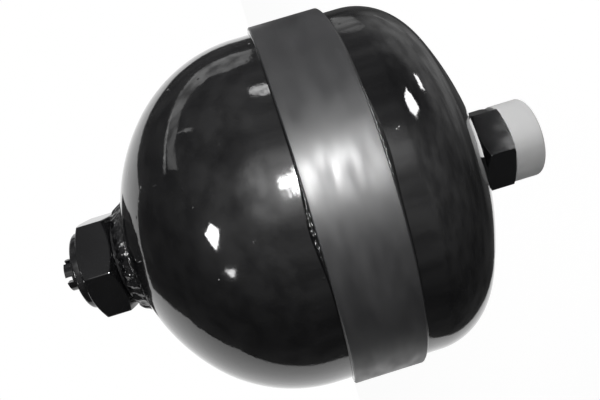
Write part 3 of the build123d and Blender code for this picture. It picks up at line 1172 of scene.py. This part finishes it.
def pale_floor(level):
    """Pale floor that the camera sees nearly white, with the object's shadow on it."""
    half = 3.0
    glow_share = 0.75
    glow_strength = 1.24
    mesh = bpy.data.meshes.new("floor")
    corners = [(-half, -half, level), (half, -half, level), (half, half, level), (-half, half, level)]
    mesh.from_pydata(corners, [], [(0, 1, 2, 3)])
    floor = placed("floor", mesh)
    material = bpy.data.materials.new("pale_floor")
    material.use_nodes = True
    tree = material.node_tree
    tree.nodes.clear()
    paper = add_node(tree, "ShaderNodeBsdfDiffuse", {"Color": (0.9, 0.9, 0.9, 1)})
    white = add_node(tree, "ShaderNodeEmission", {"Strength": glow_strength})
    share = combine(tree, "MULTIPLY", seen_directly(tree), glow_share)
    mix = add_node(
        tree, "ShaderNodeMixShader", {0: share, 1: paper.outputs[0], 2: white.outputs[0]}
    )
    add_node(tree, "ShaderNodeOutputMaterial", {"Surface": mix.outputs[0]})
    mesh.materials.append(material)
    floor.visible_glossy = False


def mottled(tree, place, scale, low, high):
    """Uneven brightness, from low to high, as a blurred reflection of a room has."""
    cloud = add_node(tree, "ShaderNodeTexNoise", {"Vector": place, "Scale": scale, "Detail": 3})
    spread = {"From Min": 0.36, "From Max": 0.64, "To Min": low, "To Max": high}
    return add_node(
        tree, "ShaderNodeMapRange", {"Value": cloud.outputs["Fac"], **spread}
    ).outputs[0]


def room_light(tree):
    """Light of the dim room, which depends only on the direction from the object."""
    place = add_node(tree, "ShaderNodeTexCoord").outputs["Object"]
    outward = add_node(tree, "ShaderNodeVectorMath", {0: place}, operation="NORMALIZE").outputs[0]

    def lobe(around, rise, wide, narrow, power, strength):
        """Light that grows from nought at the wide angle from a direction to full at the narrow one."""
        nearness = add_node(
            tree, "ShaderNodeVectorMath", {0: outward, 1: towards(around, rise)},
            operation="DOT_PRODUCT",
        ).outputs["Value"]
        limits = {"From Min": math.cos(math.radians(wide)), "From Max": math.cos(math.radians(narrow))}
        share = add_node(tree, "ShaderNodeMapRange", {"Value": nearness, **limits}).outputs[0]
        return combine(tree, "MULTIPLY", combine(tree, "POWER", share, power), strength)

    lit_side = lobe(30, -8, 112, 15, 2.0, 0.65)
    low_corner = lobe(115, -52, 42, 12, 1.0, 0.55)
    dark_corners = (lobe(60, -30, 34, 14, 1.0, 0.75), lobe(53, 21, 16, 7, 1.0, 0.5))
    round_the_key = lobe(24, 6, 25, 6, 1.8, 2.4)
    everywhere = 0.08

    room = combine(tree, "ADD", lit_side, everywhere)
    room = combine(tree, "ADD", room, low_corner)
    for dark in dark_corners:
        room = combine(tree, "MULTIPLY", room, combine(tree, "SUBTRACT", 1.0, dark))
    room = combine(tree, "ADD", room, round_the_key)
    return combine(tree, "MULTIPLY", room, mottled(tree, outward, 5.0, 0.6, 1.25))


def dark_tent(radius):
    """Dim room that the gloss paint reflects."""
    mesh = bpy.data.meshes.new("dark_tent")
    work = bmesh.new()
    bmesh.ops.create_uvsphere(work, u_segments=48, v_segments=24, radius=radius)
    work.to_mesh(mesh)
    work.free()
    mesh.materials.append(glow("dark_tent", room_light))
    only_reflected(placed("dark_tent", mesh))


def sheet_card(name, corners, distance, strength):
    """Flat card behind the object, its corners across and up in millimetres."""
    vertices = [(-distance, y * MM, z * MM) for y, z in corners]
    return light_card(name, vertices, [tuple(range(len(corners)))], strength)


def white_sheet(distance):
    """White sheet close behind the object, which gives the gloss paint its pale rims."""
    sheet_card("white_sheet", [
        (9, -90), (10, -60), (45, 0), (92, 0), (85, 74), (72, 128), (65, 198), (17, 202),
        (-20, 200), (-46, 172), (-64, 200), (-168, 305), (-357, 397), (-640, 517), (-500, -72),
        (-450, -75), (-257, -53), (-226, -62), (-193, -87), (-148, -112), (-98, -109),
        (-61, -90), (-42, -95), (-29, -100), (-15, -108),
    ], distance, 1.1)
    sheet_card("boss_shade", [
        (24, 98), (24, 150), (17, 166), (9, 183), (-3, 188), (-14, 189), (-25, 182), (-38, 160),
        (-43, 148), (-43, 90), (5, 90), (12, 96),
    ], distance - 0.4 * MM, 0.04)


class ACCUMULATOR_OT_stage(bpy.types.Operator):
    """Set up the floor, the light and the camera"""

    bl_idname = "accumulator.stage"
    bl_label = "Stage"

    def execute(self, context):
        scene = context.scene
        stage = scene.accumulator_stage
        scene.view_settings.view_transform = "Standard"
        white_world(stage.ambient)
        pale_floor(cad_low.z - stage.floor_drop)
        dark_tent(2.0)
        white_sheet(62 * MM)
        soft_lamp("key", 24.5, -1.5, distance=0.75, size=(0.25, 0.07), power=2.0)
        soft_lamp("fill", 76, 10, distance=1.2, size=(0.6, 0.6), power=10)
        window("window_a", [(17, 51), (9, 57), (0, 55), (-6, 52), (2, 48), (9, 46)], 30)
        window("window_b", [(-22, 49), (-21, 42), (-27, 44), (-26, 47)], 20)
        window("window_c", [(79, -1), (81, -3), (86, -2.2), (89, 0), (86, 1), (83, 0.6)], 7, uneven=30)
        window("window_d", [(32, -3), (27, -5.4), (20, -5.8), (14, -4), (16, -2), (24, -1.5)], 300)
        window(
            "window_oval",
            [(25, 1), (28, 0.2), (27, -1.2), (24, -1.6), (21, -1), (20.5, 0.4), (22, 1.2)], 40,
        )
        window(
            "window_e",
            [(61, -32), (54, -26), (48, -26), (44, -27), (41, -32), (48, -40), (57, -36)], 25,
        )
        window("window_f", [(81, -46), (84, -50), (72, -54), (70, -50)], 20)
        window("window_g", [(139, -10), (134, -11), (115, -17), (109, -12), (118, -9)], 0.7, uneven=12)
        window("window_h", [(137, -24), (136, -38), (138.5, -38), (139, -24)], 0.6)
        curved_window(
            "window_bar",
            [(126, -1), (127, 5), (128, 15), (123, 27), (117, 35), (110, 43), (101, 51), (91, 58)],
            [(110, 0), (109, 7), (113, 15), (112, 25), (108, 33), (100, 41), (91, 49), (77, 55)],
            0.9, uneven=9,
        )
        window("window_bar_end", [(117, 2), (120, 0), (119, 8), (117, 12), (115, 10)], 1.9, uneven=20)
        curved_window(
            "window_streak",
            [(119, 31), (117, 36), (113, 42), (108, 49), (102, 56), (97, 61)],
            [(117, 33), (114, 38), (110, 43), (104, 50), (98, 56), (94, 60)],
            2.4, uneven=14,
        )
        window("window_slip", [(98, 43), (96, 41), (87, 35), (86, 37), (92, 40)], 2.2, uneven=20)
        camera = bpy.data.cameras.new("camera")
        camera.lens = stage.lens
        camera.sensor_width = 36
        camera.clip_start = 0.001
        holder = placed("camera", camera)
        back = (Vector(stage.camera_place) - Vector(stage.camera_target)).normalized()
        right = Vector(stage.camera_up).cross(back).normalized()
        turn = Matrix((right, back.cross(right), back)).transposed().to_4x4()
        holder.matrix_world = Matrix.Translation(stage.camera_place) @ turn
        scene.camera = holder
        return {"FINISHED"}


OPERATORS = (
    ACCUMULATOR_OT_shells,
    ACCUMULATOR_OT_band,
    ACCUMULATOR_OT_gas_end,
    ACCUMULATOR_OT_filling_screw,
    ACCUMULATOR_OT_port_end,
    ACCUMULATOR_OT_port_cap,
    ACCUMULATOR_OT_diaphragm,
    ACCUMULATOR_OT_inner_parts,
    ACCUMULATOR_OT_stage,
)


class ACCUMULATOR_PT_panel(bpy.types.Panel):
    """Lists the accumulator's pieces"""

    bl_idname = "ACCUMULATOR_PT_panel"
    bl_label = "Pressure accumulator"
    bl_space_type = "VIEW_3D"
    bl_region_type = "UI"
    bl_category = "Accumulator"

    def draw(self, context):
        for operator in OPERATORS:
            self.layout.operator(operator.bl_idname)
        for name, settings in SETTINGS.items():
            box = self.layout.box()
            for key in settings.__annotations__:
                box.prop(getattr(context.scene, name), key)


def register():
    for settings in SETTINGS.values():
        bpy.utils.register_class(settings)
    for operator in OPERATORS:
        bpy.utils.register_class(operator)
    bpy.utils.register_class(ACCUMULATOR_PT_panel)
    for name, settings in SETTINGS.items():
        setattr(bpy.types.Scene, name, PointerProperty(type=settings))


def unregister():
    for name in SETTINGS:
        delattr(bpy.types.Scene, name)
    bpy.utils.unregister_class(ACCUMULATOR_PT_panel)
    for operator in reversed(OPERATORS):
        bpy.utils.unregister_class(operator)
    for settings in reversed(list(SETTINGS.values())):
        bpy.utils.unregister_class(settings)


def main():
    register()
    bpy.ops.accumulator.shells()
    bpy.ops.accumulator.band()
    bpy.ops.accumulator.gas_end()
    bpy.ops.accumulator.filling_screw()
    bpy.ops.accumulator.port_end()
    bpy.ops.accumulator.port_cap()
    bpy.ops.accumulator.diaphragm()
    bpy.ops.accumulator.inner_parts()
    bpy.ops.accumulator.stage()


if __name__ == "__main__":
    main()
